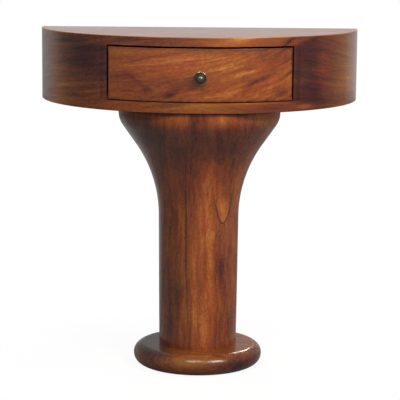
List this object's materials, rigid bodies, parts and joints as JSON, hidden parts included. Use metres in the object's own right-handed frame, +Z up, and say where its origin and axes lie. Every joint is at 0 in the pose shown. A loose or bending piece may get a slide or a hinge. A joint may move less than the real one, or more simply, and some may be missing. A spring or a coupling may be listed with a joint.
{
  "type": "half-round pedestal console table",
  "caption": "Half-round wooden console table with a bow-fronted drawer, a turned pedestal that flares out under the case and a round bullnose base.",
  "frame": {"origin": "on the floor, at the centre of the round base's underside", "axes": "+Z up, +Y towards the wall behind the flat back, -Y out of the drawer front, X across the width"},
  "size_m": [0.74, 0.3956, 0.76],
  "materials": {
    "case_wood": "satin lacquer",
    "drawer_front_wood": "satin lacquer",
    "pedestal_wood": "gloss lacquer",
    "guide_wood": "bare",
    "dowel_wood": "bare",
    "drawer_box_wood": "clear sealed",
    "drawer_bottom_ply": "clear sealed",
    "antique_brass": "aged and polished",
    "steel": "zinc plated"
  },
  "bodies": {
    "table": {"top_board": "case_wood", "bottom_board": "case_wood", "left_side_wall": "case_wood", "right_side_wall": "case_wood", "left_partition": "case_wood", "right_partition": "case_wood", "back_panel": "case_wood", "left_runner": "guide_wood", "right_runner": "guide_wood", "left_kicker": "guide_wood", "right_kicker": "guide_wood", "drawer_stops": "guide_wood", "top_dowels": "dowel_wood", "bottom_dowels": "dowel_wood", "runner_screws": "steel", "kicker_screws": "steel", "pedestal_screws": "steel", "base_coach_screws": "steel", "base_washers": "steel", "pedestal_column": "pedestal_wood", "pedestal_base": "pedestal_wood"},
    "drawer": {"drawer_front": "drawer_front_wood", "drawer_left_side": "drawer_box_wood", "drawer_right_side": "drawer_box_wood", "drawer_back": "drawer_box_wood", "drawer_bottom": "drawer_bottom_ply", "drawer_knob": "antique_brass", "knob_rosette": "antique_brass", "knob_screw": "steel", "knob_washer": "steel"}
  },
  "joints": [
    {"name": "drawer_slide", "type": "slide", "parent": "table", "child": "drawer", "axis": [0, -1, 0], "range_m": [0, 0.2]}
  ]
}
